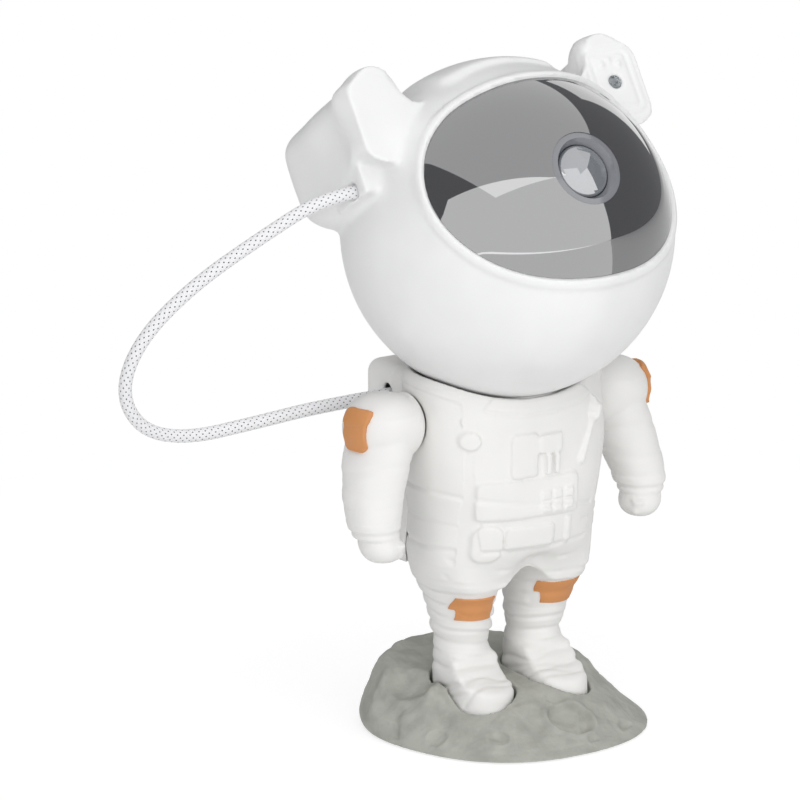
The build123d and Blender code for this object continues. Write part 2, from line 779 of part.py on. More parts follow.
def pod_section(y, top, bottom, tuck, rise, drop, roof_end):
    """Section across the left ear pod: its outer wall tucked in, its roof rising to a ridge."""
    outer = pod_reach - tuck
    middle = (top + bottom) / 2
    inner_side = [(27, middle), (30, bottom + 7), (40, bottom - 1), (50, bottom - 1.4)]
    outer_side = [(outer - 0.9, bottom + 2.6), (outer, middle - 6), (outer, middle + 6), (outer - 0.9, top - 3.2)]
    roof = [(outer - 4.4, top), (46.0, top + rise), (roof_end + 5.5, top + rise - drop), (roof_end, top - drop - 6)]
    return Pos(0, y, 0) * (Plane.XZ * make_face(Spline(*inner_side, *outer_side, *roof, periodic=True)))


def pod_form():
    """The left ear pod as one block before the ball is taken out of it."""
    return loft(
        [
            pod_section(pod_front, 52.4, 23.4, 0, 3.4, 3.0, 34),
            pod_section(-8, 52.0, 19.5, -0.2, 2.8, 3.4, 34),
            pod_section(5, 51.6, 14.5, -0.3, 2.0, 4.4, 34),
            pod_section(15, 51.0, 14.8, -0.2, 1.2, 5.4, 34),
            pod_section(24, 50.4, 18.6, 0, 0.2, 6.4, 34),
            pod_section(pod_rear - 1.2, 49.4, 21.4, 0.8, -0.2, 6.8, 34),
            pod_section(pod_rear, 47.4, 24.0, 3.0, -0.4, 6.8, 35),
        ]
    )


def pod_body():
    return pod_form() - Sphere(ball_radius + running_gap)


def pod_left():
    pod = pod_body()
    pod -= bar_y(laser_hole_radius, pod_front - 1, 0, laser_x, laser_z)
    return pod - bar_y(laser_body_radius + 0.05, pod_front + 2, pod_front + 2.2 + laser_body_length, laser_x, laser_z)


def pod_right():
    pod = mirrored(pod_body())
    pod -= bar_x(cord_radius + 0.3, -60, -45, *cord_in_head())
    return pod - bar_x(4.1, cord_start_x - running_gap, -45, *cord_in_head())


def laser_module():
    return bar_y(laser_body_radius, pod_front + 2.1, pod_front + 2.1 + laser_body_length, laser_x, laser_z)


def laser_window():
    return bar_y(laser_hole_radius - 0.02, pod_front + 0.8, pod_front + 2.1, laser_x, laser_z)


def helmet_cord_clamp():
    clamp = bar_x(4.0, cord_start_x, -44.5, *cord_in_head())
    return clamp + bar_x(5.6, -46.0, -44.5, *cord_in_head())


# ---------------------------------------------------------------- cord


def power_cord():
    """Sleeved cable from the right ear pod to the backpack, in runs joined by the largest arcs."""
    points = [Vector(*p) for p in cord_route]
    runs = [b - a for a, b in zip(points, points[1:])]
    radii = []
    for before, after in zip(runs, runs[1:]):
        turn = math.radians(before.get_angle(after))
        radii.append(0.45 * min(before.length, after.length) / math.tan(turn / 2))
    print("cord radii", [round(r, 1) for r in radii])
    path = FilletPolyline(*points, radius=radii)
    start = Plane(origin=points[0], z_dir=runs[0])
    cord = sweep(start * Circle(cord_radius), path=path)
    print("cord length", round(path.length, 2), "volume ratio", cord.volume / (math.pi * cord_radius**2 * path.length))
    return cord


def write(node, shape):
    export_step(shape, os.path.join("parts", node + ".step"))


def main():
    os.makedirs("parts", exist_ok=True)
    write("moon_base", moon_base())
    write("base_floor", base_floor())
    write("base_pad", base_pad())
    write("base_screws", base_screws())
    write("boot_screws", boot_screws())
    torso_front, torso_rear = torso_halves()
    write("torso_front", torso_front)
    write("torso_rear", torso_rear)
    left_side = {
        "arm": arm(),
        "arm_patch": arm_patch(),
        "shoulder_pin": shoulder_pin(),
    }
    for name, piece in left_side.items():
        write(name + "_left", piece)
        write(name + "_right", mirrored(piece))
    write("knee_patch_left", knee_patch(1, 8.0, 24.0))
    write("knee_patch_right", knee_patch(-1, -25.0, -11.5))
    write("seat_ring", seat_ring())
    write("neck_magnet", neck_magnet())
    write("backpack", backpack())
    write("backpack_cover", backpack_cover())
    write("backpack_screws", cover_pan_screws())
    write("control_board", control_board())
    write("key_switches", key_switches())
    write("button_nebula", button(-1))
    write("button_star", button(1))
    write("power_socket", power_socket())
    write("backpack_cord_clamp", backpack_cord_clamp())
    helmet_front, helmet_rear = helmet_shells()
    head = {
        "helmet_front": helmet_front,
        "helmet_rear": helmet_rear,
        "visor": visor(),
        "lens_bezel": lens_bezel(),
        "projection_lens": projection_lens(),
        "lens_barrel": lens_barrel(),
        "projector_cover": projector_cover(),
        "disc_gear": disc_gear(),
        "nebula_disc": nebula_disc(),
        "disc_axle": disc_axle(),
        "motor_pinion": motor_pinion(),
        "hanger_screws": hanger_screws(),
        "disc_motor": disc_motor(),
        "led_collimator": led_collimator(),
        "led_board": led_board(),
        "light_posts": light_posts(),
        "heat_sink": heat_sink(),
        "helmet_plate": helmet_plate(),
        "pod_left": pod_left(),
        "pod_right": pod_right(),
        "laser_module": laser_module(),
        "laser_window": laser_window(),
        "helmet_cord_clamp": helmet_cord_clamp(),
    }
    for name, piece in head.items():
        write(name, in_head(piece))
    write("power_cord", power_cord())


main()
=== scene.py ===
import bmesh
import bpy
import json
import math
import numpy as np
from mathutils import Matrix, Vector
from mathutils.bvhtree import BVHTree

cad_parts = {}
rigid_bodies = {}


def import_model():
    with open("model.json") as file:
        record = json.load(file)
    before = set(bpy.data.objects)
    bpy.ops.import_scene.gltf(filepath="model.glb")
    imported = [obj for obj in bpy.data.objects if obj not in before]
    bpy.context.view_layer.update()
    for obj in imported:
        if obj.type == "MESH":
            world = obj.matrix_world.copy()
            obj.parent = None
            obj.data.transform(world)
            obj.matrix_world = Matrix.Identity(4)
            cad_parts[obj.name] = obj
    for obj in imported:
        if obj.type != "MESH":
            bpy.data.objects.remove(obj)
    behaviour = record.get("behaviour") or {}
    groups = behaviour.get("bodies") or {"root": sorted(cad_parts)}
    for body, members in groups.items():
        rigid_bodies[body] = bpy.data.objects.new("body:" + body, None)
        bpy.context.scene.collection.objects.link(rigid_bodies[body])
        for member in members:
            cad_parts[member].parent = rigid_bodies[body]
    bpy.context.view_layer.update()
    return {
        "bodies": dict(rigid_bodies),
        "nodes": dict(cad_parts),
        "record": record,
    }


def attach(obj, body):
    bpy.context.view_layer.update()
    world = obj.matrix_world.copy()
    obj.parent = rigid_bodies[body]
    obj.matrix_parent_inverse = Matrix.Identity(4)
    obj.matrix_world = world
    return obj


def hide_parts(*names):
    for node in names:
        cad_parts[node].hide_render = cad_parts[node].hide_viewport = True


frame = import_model()

MM = 0.001
BALL_HEIGHT = 169
BALL_CENTRE = Vector((0, 0, BALL_HEIGHT * MM))
REST_TILT = math.radians(33.4)

scene = bpy.context.scene


# ---------------------------------------------------------------- camera

# Round the figure and down onto it, in degrees; away from it and above the floor, in metres.
CAMERA_TURN = 35.06
CAMERA_AIM_OFF = 0.81
CAMERA_DIP = 14.58
CAMERA_AWAY = 2.4925
CAMERA_HEIGHT = 0.7597
# The lens, told as the camera's reach in picture widths.
SENSOR_WIDTH = 36
LENS_REACH = 7815.5 / 800


def point_camera():
    """A long lens, a little above the head and off to the figure's right."""
    turn = math.radians(CAMERA_TURN)
    aim = math.radians(CAMERA_TURN - CAMERA_AIM_OFF)
    dip = math.radians(CAMERA_DIP)
    place = Vector((-math.sin(turn) * CAMERA_AWAY, -math.cos(turn) * CAMERA_AWAY, CAMERA_HEIGHT))
    level = Vector((math.sin(aim), math.cos(aim), 0))
    ahead = level * math.cos(dip) - Vector((0, 0, 1)) * math.sin(dip)
    data = bpy.data.cameras.new("camera")
    data.sensor_width = SENSOR_WIDTH
    data.lens = LENS_REACH * SENSOR_WIDTH
    data.clip_start = 0.1
    data.clip_end = 50
    camera = bpy.data.objects.new("camera", data)
    camera.matrix_world = Matrix.Translation(place) @ ahead.to_track_quat("-Z", "Y").to_matrix().to_4x4()
    scene.collection.objects.link(camera)
    scene.camera = camera


point_camera()


# ---------------------------------------------------------------- materials


def linear(code):
    """sRGB hex to linear colour."""
    parts = [int(code[i:i + 2], 16) / 255 for i in (1, 3, 5)]
    return (*[p / 12.92 if p <= 0.04045 else ((p + 0.055) / 1.055) ** 2.4 for p in parts], 1.0)


def add(tree, kind, inputs=None, **settings):
    """Adds a node, sets its properties, and sets or links its inputs."""
    node = tree.nodes.new("ShaderNode" + kind)
    for name, value in settings.items():
        setattr(node, name, value)
    for name, value in (inputs or {}).items():
        if isinstance(value, bpy.types.NodeSocket):
            tree.links.new(value, node.inputs[name])
        else:
            node.inputs[name].default_value = value
    return node


def material(name):
    """An empty node material and its tree."""
    made = bpy.data.materials.new(name)
    made.use_nodes = True
    made.node_tree.nodes.clear()
    return made, made.node_tree


def finish_material(tree, shader):
    """Links a shader to the material's surface."""
    output = tree.nodes.new("ShaderNodeOutputMaterial")
    tree.links.new(shader.outputs[0], output.inputs["Surface"])


def moulded_plastic(name, colour, rough, grain_mm=0.5, grain_depth=0.02, mottle=0.02, coat=0.0, ior=1.49):
    """Moulded plastic: a fine spark-eroded grain, and a faint flow mottle in its colour and gloss.

    Grain's size and depth are in millimetres, and mottle is half the colour's loss in its dark patches.
    """
    made, tree = material(name)
    place = add(tree, "TexCoord").outputs["Object"]
    grain = add(tree, "TexNoise", {"Vector": place, "Scale": 1 / (grain_mm * MM), "Detail": 3.0})
    flow = add(tree, "TexNoise", {"Vector": place, "Scale": 1 / (26 * MM), "Detail": 2.0})
    base = linear(colour)
    dark = tuple(c * (1 - mottle * 2) for c in base[:3]) + (1.0,)
    tint = add(tree, "ValToRGB", {"Fac": flow.outputs["Fac"]})
    tint.color_ramp.elements[0].color = dark
    tint.color_ramp.elements[0].position = 0.35
    tint.color_ramp.elements[1].color = base
    tint.color_ramp.elements[1].position = 0.65
    gloss = add(tree, "MapRange", {"Value": flow.outputs["Fac"], "From Min": 0.3, "From Max": 0.7,
                                   "To Min": rough - 0.03, "To Max": rough + 0.03})
    bump = add(tree, "Bump", {"Height": grain.outputs["Fac"], "Distance": grain_depth * MM, "Strength": 0.6})
    shader = add(tree, "BsdfPrincipled", {
        "Base Color": tint.outputs["Color"], "Roughness": gloss.outputs["Result"],
        "Normal": bump.outputs["Normal"], "IOR": ior, "Coat Weight": coat, "Coat Roughness": 0.12})
    finish_material(tree, shader)
    return made


def moon_stone(name, colour):
    """Moulded stone texture: coarse blotches and small pits in a dull grey."""
    made, tree = material(name)
    place = add(tree, "TexCoord").outputs["Object"]
    blotch = add(tree, "TexNoise", {"Vector": place, "Scale": 1 / (9 * MM), "Detail": 6.0, "Roughness": 0.6})
    pits = add(tree, "TexVoronoi", {"Vector": place, "Scale": 1 / (1.7 * MM), "Randomness": 1.0})
    pit = add(tree, "MapRange", {"Value": pits.outputs["Distance"], "From Min": 0.05, "From Max": 0.45})
    grain = add(tree, "TexNoise", {"Vector": place, "Scale": 1 / (0.7 * MM), "Detail": 4.0})
    tint = add(tree, "ValToRGB", {"Fac": blotch.outputs["Fac"]})
    base = linear(colour)
    tint.color_ramp.elements[0].color = tuple(c * 0.80 for c in base[:3]) + (1.0,)
    tint.color_ramp.elements[0].position = 0.36
    tint.color_ramp.elements[1].color = base
    tint.color_ramp.elements[1].position = 0.60
    coarse = add(tree, "Bump", {"Height": blotch.outputs["Fac"], "Distance": 0.5 * MM, "Strength": 0.55})
    pitted = add(tree, "Bump", {"Height": pit.outputs["Result"], "Distance": 0.12 * MM, "Strength": 0.35,
                                "Normal": coarse.outputs["Normal"]})
    bump = add(tree, "Bump", {"Height": grain.outputs["Fac"], "Distance": 0.10 * MM, "Strength": 0.5,
                              "Normal": pitted.outputs["Normal"]})
    shader = add(tree, "BsdfPrincipled", {
        "Base Color": tint.outputs["Color"], "Roughness": 0.68, "Normal": bump.outputs["Normal"]})
    finish_material(tree, shader)
    return made


def smoked_acrylic():
    """Polished dark acrylic with a half-mirror coat: nearly black, with hard clear reflections."""
    made, tree = material("half-mirrored smoked acrylic")
    place = add(tree, "TexCoord").outputs["Object"]
    wave = add(tree, "TexNoise", {"Vector": place, "Scale": 1 / (18 * MM), "Detail": 1.0})
    bump = add(tree, "Bump", {"Height": wave.outputs["Fac"], "Distance": 0.02 * MM, "Strength": 0.25})
    shader = add(tree, "BsdfPrincipled", {
        "Base Color": linear("#2A2A2E"), "Roughness": 0.04, "Normal": bump.outputs["Normal"],
        "IOR": 1.49, "Specular IOR Level": 0.9,
        "Coat Weight": 1.0, "Coat Roughness": 0.02, "Coat IOR": 2.7})
    finish_material(tree, shader)
    return made


def braided_sleeve():
    """White polyester braid: slanting strands, and dark specks where the cable shows between them."""
    made, tree = material("white polyester braid over black cable")
    turn = add(tree, "SeparateXYZ", {"Vector": add(tree, "UVMap", uv_map="braid").outputs["UV"]})
    strands = []
    for way in ("ADD", "SUBTRACT"):
        count = add(tree, "Math", {0: turn.outputs["X"], 1: turn.outputs["Y"]}, operation=way)
        angle = add(tree, "Math", {0: count.outputs[0], 1: math.pi}, operation="MULTIPLY")
        wave = add(tree, "Math", {0: angle.outputs[0]}, operation="COSINE")
        strands.append(add(tree, "Math", {0: wave.outputs[0]}, operation="ABSOLUTE").outputs[0])
    nearest = add(tree, "Math", {0: strands[0], 1: strands[1]}, operation="MAXIMUM")
    gap = add(tree, "ValToRGB", {"Fac": nearest.outputs[0]})
    gap.color_ramp.elements[0].color = linear("#26262A")
    gap.color_ramp.elements[0].position = 0.34
    gap.color_ramp.elements[1].color = linear("#E6E6E8")
    gap.color_ramp.elements[1].position = 0.5
    place = add(tree, "TexCoord").outputs["Object"]
    yarn = add(tree, "TexNoise", {"Vector": place, "Scale": 1 / (0.35 * MM)})
    bump = add(tree, "Bump", {"Height": yarn.outputs["Fac"], "Distance": 0.05 * MM, "Strength": 0.5})
    shader = add(tree, "BsdfPrincipled", {
        "Base Color": gap.outputs["Color"], "Roughness": 0.6, "Normal": bump.outputs["Normal"],
        "Sheen Weight": 0.2})
    finish_material(tree, shader)
    return made


def clear_plastic(name, colour):
    """Clear polished plastic: light goes through it, bent a little by faint moulding waves."""
    made, tree = material(name)
    place = add(tree, "TexCoord").outputs["Object"]
    wave = add(tree, "TexNoise", {"Vector": place, "Scale": 1 / (6 * MM), "Detail": 1.0})
    bump = add(tree, "Bump", {"Height": wave.outputs["Fac"], "Distance": 0.01 * MM, "Strength": 0.3})
    shader = add(tree, "BsdfPrincipled", {
        "Base Color": linear(colour), "Roughness": 0.02, "Transmission Weight": 1.0, "IOR": 1.49,
        "Normal": bump.outputs["Normal"]})
    finish_material(tree, shader)
    return made


def metal(name, colour, rough, grain_mm=0.15):
    """Plated or machined metal: fine marks in its skin that break up its gloss."""
    made, tree = material(name)
    place = add(tree, "TexCoord").outputs["Object"]
    lay = add(tree, "TexNoise", {"Vector": place, "Scale": 1 / (grain_mm * MM), "Detail": 2.0})
    gloss = add(tree, "MapRange", {"Value": lay.outputs["Fac"],
                                   "To Min": rough - 0.08, "To Max": rough + 0.08})
    bump = add(tree, "Bump", {"Height": lay.outputs["Fac"], "Distance": 0.01 * MM, "Strength": 0.4})
    shader = add(tree, "BsdfPrincipled", {
        "Base Color": linear(colour), "Metallic": 1.0, "Roughness": gloss.outputs["Result"],
        "Normal": bump.outputs["Normal"]})
    finish_material(tree, shader)
    return made


# Two whites: the suit's is dull and grainy, the helmet's has a soft sheen.
suit_abs = moulded_plastic("fine matt moulded ABS", "#E9E8E6", 0.55, 0.45, 0.02)
helmet_abs = moulded_plastic("satin moulded ABS", "#ECECEC", 0.34, 0.6, 0.008, coat=0.15)
patch_paint = moulded_plastic("matt orange paint on ABS", "#D08F58", 0.6, 0.35, 0.03, mottle=0.04)
moon_plastic = moon_stone("stone-grained grey ABS", "#ADAEA6")
floor_plastic = moulded_plastic("grey ABS", "#7C7D76", 0.6)
black_abs = moulded_plastic("black ABS", "#1B1B1D", 0.45)
nylon = moulded_plastic("natural nylon", "#E4E0D2", 0.4)
rubber = moulded_plastic("black silicone rubber", "#202020", 0.8, 0.3, 0.04)
solder_mask = moulded_plastic("green solder mask", "#1F5A36", 0.35)
acrylic = smoked_acrylic()
lens_clear = clear_plastic("clear moulded acrylic", "#F4F8FA")
# The lens and its ring lie before a dark housing, so they are drawn closed and grey: what the eye
# gets from them is the room in their polish, strongest in the lens's facets.
bezel_grey = moulded_plastic("clear grey acrylic ring", "#7E8085", 0.10, 0.6, 0.002, coat=1.0)
lens_facets = moulded_plastic("faceted clear acrylic", "#70747A", 0.03, 0.6, 0.001, coat=1.0, ior=3.2)
braid = braided_sleeve()
zinc = metal("zinc plated steel", "#B9BBBE", 0.35)
nickel = metal("nickel plated steel", "#C4C1BA", 0.25)
alloy = metal("machined aluminium", "#C9CBCE", 0.4)

SLOT_FINISH = {
    "suit_white": suit_abs,
    "helmet_white": helmet_abs,
    "patch_orange": patch_paint,
    "moon_grey": moon_plastic,
    "floor_grey": floor_plastic,
    "pad_rubber": rubber,
    "screw_steel": zinc,
    "visor_smoke": acrylic,
    "black_plastic": black_abs,
    "clear_lens": lens_clear,
    "gear_nylon": nylon,
    "pin_nylon": nylon,
    "steel_plate": nickel,
    "aluminium": alloy,
    "board_green": solder_mask,
    "switch_metal": nickel,
    "button_white": helmet_abs,
    "cord_white": suit_abs,
}


def dress(piece, finish):
    """Gives a piece one finish in place of what it had."""
    piece.data.materials.clear()
    piece.data.materials.append(finish)


for part in frame["record"]["subparts"]:
    dress(frame["nodes"][part["node"]], SLOT_FINISH[part["material_slot"]])


# ---------------------------------------------------------------- cord

CORD_DIAMETER = 4.4 * MM
BRAID_PITCH = 2.5 * MM
BRAID_STRANDS = 7
# Between its strands the braid sinks by up to this share of the cord's radius.
BRAID_RELIEF = 0.07
# How finely the bevel rounds the cord, and the sides that come of it.
BEVEL_RESOLUTION = 18
CORD_SIDES = 2 * (BEVEL_RESOLUTION + 2)
# From the right ear pod, out and down in one loop, to the backpack's right wall, in millimetres.
CORD_ROUTE = [
    (-52, 6, 188),
    (-68, 6, 188),
    (-91, 11, 175.5),
    (-112, 17, 162),
    (-129, 22, 145.5),
    (-134, 26, 128),
    (-125, 28, 113.5),
    (-107, 28.5, 108),
    (-82, 28, 109.5),
    (-54, 28, 111.5),
    (-25.5, 28, 111.5),
]


def route_curve():
    """The cord's centre line: a smooth spline drawn by the route's points."""
    data = bpy.data.curves.new("cord_line", "CURVE")
    data.dimensions = "3D"
    line = data.splines.new("NURBS")
    line.points.add(len(CORD_ROUTE) - 1)
    for point, place in zip(line.points, CORD_ROUTE):
        point.co = (*[c * MM for c in place], 1)
    line.order_u = 3
    line.use_endpoint_u = True
    line.resolution_u = 12
    return data


def line_points():
    """Places along the centre line."""
    carrier = bpy.data.objects.new("cord_line", route_curve())
    scene.collection.objects.link(carrier)
    mesh = bpy.data.meshes.new_from_object(carrier)
    points = [v.co.copy() for v in mesh.vertices]
    bpy.data.objects.remove(carrier)
    bpy.data.meshes.remove(mesh)
    return points


def link(mesh, name, body, finish, smooth=True):
    """A mesh as a finished piece that rides on a body."""
    piece = bpy.data.objects.new(name, mesh)
    scene.collection.objects.link(piece)
    piece.data.materials.append(finish)
    if smooth:
        piece.data.shade_smooth()
    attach(piece, body)
    return piece


def plain_tube():
    """The cord as a smooth round tube, ring after ring of CORD_SIDES vertices."""
    data = route_curve()
    data.splines[0].resolution_u = 64
    data.bevel_depth = CORD_DIAMETER / 2
    data.bevel_resolution = BEVEL_RESOLUTION
    carrier = bpy.data.objects.new("cord", data)
    scene.collection.objects.link(carrier)
    mesh = bpy.data.meshes.new_from_object(carrier.evaluated_get(bpy.context.evaluated_depsgraph_get()))
    bpy.data.objects.remove(carrier)
    return mesh


def raise_braid(mesh):
    """Sinks the tube's skin between the strands, and returns how far along the cord each ring is."""
    flat = np.empty(len(mesh.vertices) * 3)
    mesh.vertices.foreach_get("co", flat)
    rings = flat.reshape(-1, CORD_SIDES, 3)
    middles = rings.mean(axis=1)
    run = np.concatenate([[0], np.cumsum(np.linalg.norm(np.diff(middles, axis=0), axis=1))])
    lay = (run / BRAID_PITCH)[:, None]
    around = (np.arange(CORD_SIDES) * BRAID_STRANDS / CORD_SIDES)[None, :]
    strands = np.maximum(np.abs(np.cos(np.pi * (lay + around))), np.abs(np.cos(np.pi * (lay - around))))
    height = 1 - BRAID_RELIEF + BRAID_RELIEF * np.sqrt(strands)
    rings = middles[:, None, :] + (rings - middles[:, None, :]) * height[:, :, None]
    mesh.vertices.foreach_set("co", rings.ravel())
    return run


def lay_braid(mesh, run):
    """The braid's own UV: pitches along the cord, and strands round it, unbroken at the seam."""
    layer = mesh.uv_layers.new(name="braid")
    corners = np.empty(len(mesh.loops), dtype=np.int64)
    mesh.loops.foreach_get("vertex_index", corners)
    ring, place = corners // CORD_SIDES, corners % CORD_SIDES
    starts = np.empty(len(mesh.polygons), dtype=np.int64)
    mesh.polygons.foreach_get("loop_start", starts)
    owner = np.repeat(np.arange(len(starts)), np.diff(np.append(starts, len(corners))))
    has_last, has_first = np.zeros((2, len(starts)), dtype=bool)
    has_last[owner[place == CORD_SIDES - 1]] = True
    has_first[owner[place == 0]] = True
    at_seam = has_last[owner] & has_first[owner] & (place == 0)
    across = (place + CORD_SIDES * at_seam) * BRAID_STRANDS / CORD_SIDES
    layer.data.foreach_set("uv", np.stack([run[ring] / BRAID_PITCH, across], axis=1).ravel())


def close_ends(mesh):
    """Fills the tube's two open ends."""
    form = bmesh.new()
    form.from_mesh(mesh)
    bmesh.ops.holes_fill(form, edges=[e for e in form.edges if e.is_boundary])
    form.to_mesh(mesh)
    form.free()


def tie_to_helmet(piece, run):
    """The end at the helmet follows it, the end at the backpack stays, and what lies between bends."""
    share = piece.vertex_groups.new(name="helmet end")
    for step, at in enumerate(run):
        t = 1 - at / run[-1]
        share.add(range(step * CORD_SIDES, (step + 1) * CORD_SIDES), t * t * (3 - 2 * t), "REPLACE")
    hook = piece.modifiers.new("helmet end", "HOOK")
    hook.object = frame["bodies"]["helmet"]
    hook.vertex_group = share.name
    hook.falloff_type = "NONE"
    hook.matrix_inverse = Matrix.Identity(4)


def braided_cord():
    """The cord from the right ear pod to the backpack in its braided sleeve."""
    mesh = plain_tube()
    run = raise_braid(mesh)
    lay_braid(mesh, run)
    mesh.materials.clear()
    close_ends(mesh)
    piece = link(mesh, "cord", "stand", braid)
    tie_to_helmet(piece, run)
    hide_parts("power_cord")
    centre_line = line_points()


braided_cord()


# ---------------------------------------------------------------- mesh tools

# From the helmet's own axes, origin at the ball's centre, to where it rests.
TILT = Matrix.Translation(BALL_CENTRE) @ Matrix.Rotation(-REST_TILT, 4, "X")


def joined(*names):
    """Copies of CAD nodes as one form, their loose triangles merged."""
    form = bmesh.new()
    for name in names:
        node = frame["nodes"][name]
        start = len(form.verts)
        form.from_mesh(node.data)
        form.verts.ensure_lookup_table()
        bmesh.ops.transform(form, matrix=node.matrix_world, verts=form.verts[start:])
    bmesh.ops.remove_doubles(form, verts=form.verts, dist=0.002 * MM)
    return form


def applied(mesh, kind, **settings):
    """A new mesh with one modifier applied; the old one goes."""
    item = bpy.data.objects.new("rough", mesh)
    scene.collection.objects.link(item)
    step = item.modifiers.new("step", kind)
    for name, value in settings.items():
        setattr(step, name, value)
    made = bpy.data.meshes.new_from_object(item.evaluated_get(bpy.context.evaluated_depsgraph_get()))
    bpy.data.objects.remove(item)
    bpy.data.meshes.remove(mesh)
    return made


def evenly(form, voxel):
    """The form's outer skin in even small faces; solids that overlap become one."""
    mesh = bpy.data.meshes.new("rough")
    form.to_mesh(mesh)
    form.free()
    return applied(mesh, "REMESH", mode="VOXEL", voxel_size=voxel * MM)


def thinned(mesh, share):
    """The same skin with fewer faces: edges collapse first where it is flattest."""
    return applied(mesh, "DECIMATE", ratio=share)


def points_of(mesh):
    """Vertex places in millimetres, one row each."""
    flat = np.empty(len(mesh.vertices) * 3)
    mesh.vertices.foreach_get("co", flat)
    return flat.reshape(-1, 3) / MM


def move_points(mesh, points):
    """Puts the vertices at new places, in millimetres."""
    mesh.vertices.foreach_set("co", (points * MM).ravel())
    mesh.update()


def outward(mesh):
    """Each vertex's own normal."""
    flat = np.empty(len(mesh.vertices) * 3)
    mesh.vertices.foreach_get("normal", flat)
    return flat.reshape(-1, 3)


def relax(mesh, rounds, weight=0.5, where=None):
    """Draws each vertex towards its neighbours, which softens edges; where holds each one's share."""
    flat = np.empty(len(mesh.edges) * 2, dtype=np.int64)
    mesh.edges.foreach_get("vertices", flat)
    a, b = flat[::2], flat[1::2]
    points = points_of(mesh)
    count = np.bincount(a, minlength=len(points)) + np.bincount(b, minlength=len(points))
    share = weight if where is None else weight * where[:, None]
    size = len(points)
    for _ in range(rounds):
        total = np.stack([np.bincount(a, points[b, i], size) + np.bincount(b, points[a, i], size)
                          for i in range(3)], axis=1)
        points += (total / count[:, None] - points) * share
    move_points(mesh, points)


def soft_band(value, middle, half, soft):
    """1 inside a band, falling to 0 over its soft edge."""
    return np.clip((half + soft - np.abs(value - middle)) / soft, 0, 1)


def smooth_step(low, high, value):
    """0 below low and 1 above high, with an eased ramp between them."""
    t = np.clip((value - low) / (high - low), 0, 1)
    return t * t * (3 - 2 * t)


# How many waves a drift adds up, and the sum that counts as 1.
WAVES = 7
WAVE_SUM = 3.2


def drift(points, size, seed):
    """Slow irregular waves, mostly from -1 to 1, that repeat at no visible distance."""
    rng = np.random.default_rng(seed)
    total = np.zeros(len(points))
    for _ in range(WAVES):
        way = rng.normal(size=3)
        way /= np.linalg.norm(way)
        total += np.sin(points @ way * (2 * np.pi / (size * rng.uniform(0.7, 1.5))) + rng.uniform(0, 6.28))
    return total / WAVE_SUM


def groove(distance, width, depth):
    """Depth of a soft groove at a distance from its line."""
    return -depth * np.exp(-((distance / width) ** 2))


def from_line(points, start, end):
    """Distance of each point from a straight line's two ends and what lies between."""
    start, end = np.array(start, float), np.array(end, float)
    along = end - start
    t = np.clip((points - start) @ along / (along @ along), 0, 1)
    return np.linalg.norm(points - start - t[:, None] * along, axis=1)


def piece_from(mesh, name, body, finish, replaced):
    """A finished piece that shows in place of the CAD nodes it was made from."""
    piece = link(mesh, name, body, finish)
    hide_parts(*replaced)
    return piece


# ---------------------------------------------------------------- suit

# Lengths and places are in millimetres from here on. The faces of the remeshed suit parts, and the
# share of the suit's faces that stays:
SUIT_VOXEL = 0.5
SLEEVE_VOXEL = 0.42
PATCH_VOXEL = 0.22
PACK_VOXEL = 0.55
SUIT_SHARE = 0.66
# The lip of the neck, round which the ball head turns: its distance from the ball's centre.
LIP_RADIUS = 55.8
COLLAR_SEAM = 61.2
BELT_LOW = 66.6
BELT_TOP = 80.6
# Bare hollow inside the trunk, which keeps its plain walls: half width, then y and z ranges.
TRUNK_HOLLOW = (27.5, (-17, 23), (61, 122))
# Creases below the belt: start, end, depth.
HIP_CREASES = [
    ((-30, -8, 63), (-6, -18, 57), 0.5),
    ((-30, -6, 57), (-8, -14, 53), 0.4),
    ((30, -8, 62), (10, -17, 60), 0.45),
    ((31, -4, 56), (12, -13, 54), 0.35),
]
# Hose from the shoulder to the chest box, its fitting, and the knob on the other side: start, end, radius.
CHEST_HOSE = [
    ((22.4, -17.2, 109.6), (15.2, -20.4, 93.6), 1.5),
    ((23.2, -15.8, 112.6), (21.0, -17.8, 107.6), 2.2),
    ((-27.0, -14.4, 111.0), (-25.2, -16.4, 106.5), 1.3),
]
# Creases of a boot, each level in a leaning direction: its shares of y, z and the outward side, where
# along that direction it lies, and its depth.
BOOT_CREASES = [
    (0.30, 0.95, 0.10, 17.6, 0.55),
    (0.62, 0.78, -0.12, 10.6, 0.5),
    (0.15, 0.98, -0.10, 22.6, 0.6),
    (0.9, 0.42, 0.05, -4.2, 0.4),
    (0.40, 0.92, 0.22, 13.6, 0.4),
]


def cloth_folds(points, low, high, pitch, height, seed):
    """Soft level folds between two heights, wandering up and down as they go round."""
    z = points[:, 2]
    wander = 1.1 * drift(points * [1, 1, 0.4], 26, seed)
    phase = (z + wander + 0.03 * points[:, 0]) / pitch
    wave = np.sin(2 * np.pi * phase) + 0.35 * np.sin(4 * np.pi * phase + 1.0)
    strength = 0.65 + 0.35 * drift(points, 15, seed + 1)
    return height * wave * strength * smooth_step(low - 3, low + 2, z) * smooth_step(-high - 2, 3 - high, -z)


def trousers(points):
    """Draws the trunk's hem in, so that it runs into the two legs instead of hanging over them."""
    x, y, z = points.T
    keep = 0.08 + 0.92 * smooth_step(50, 67, z)
    slack = (1 - keep) * (z > 44)
    y = y - (np.minimum(y + 11, 0) + np.maximum(y - 19, 0)) * slack
    thigh = soft_band(z, 47, 5, 8) * (y < 0) * (z > 30)
    fork = np.exp(-((x / 6.4) ** 4)) * (1 - smooth_step(50, 66, z)) * (z > 48)
    return np.stack([x, y - 1.3 * thigh * np.clip(-y / 8, 0, 1), z + 8.0 * fork], axis=1)


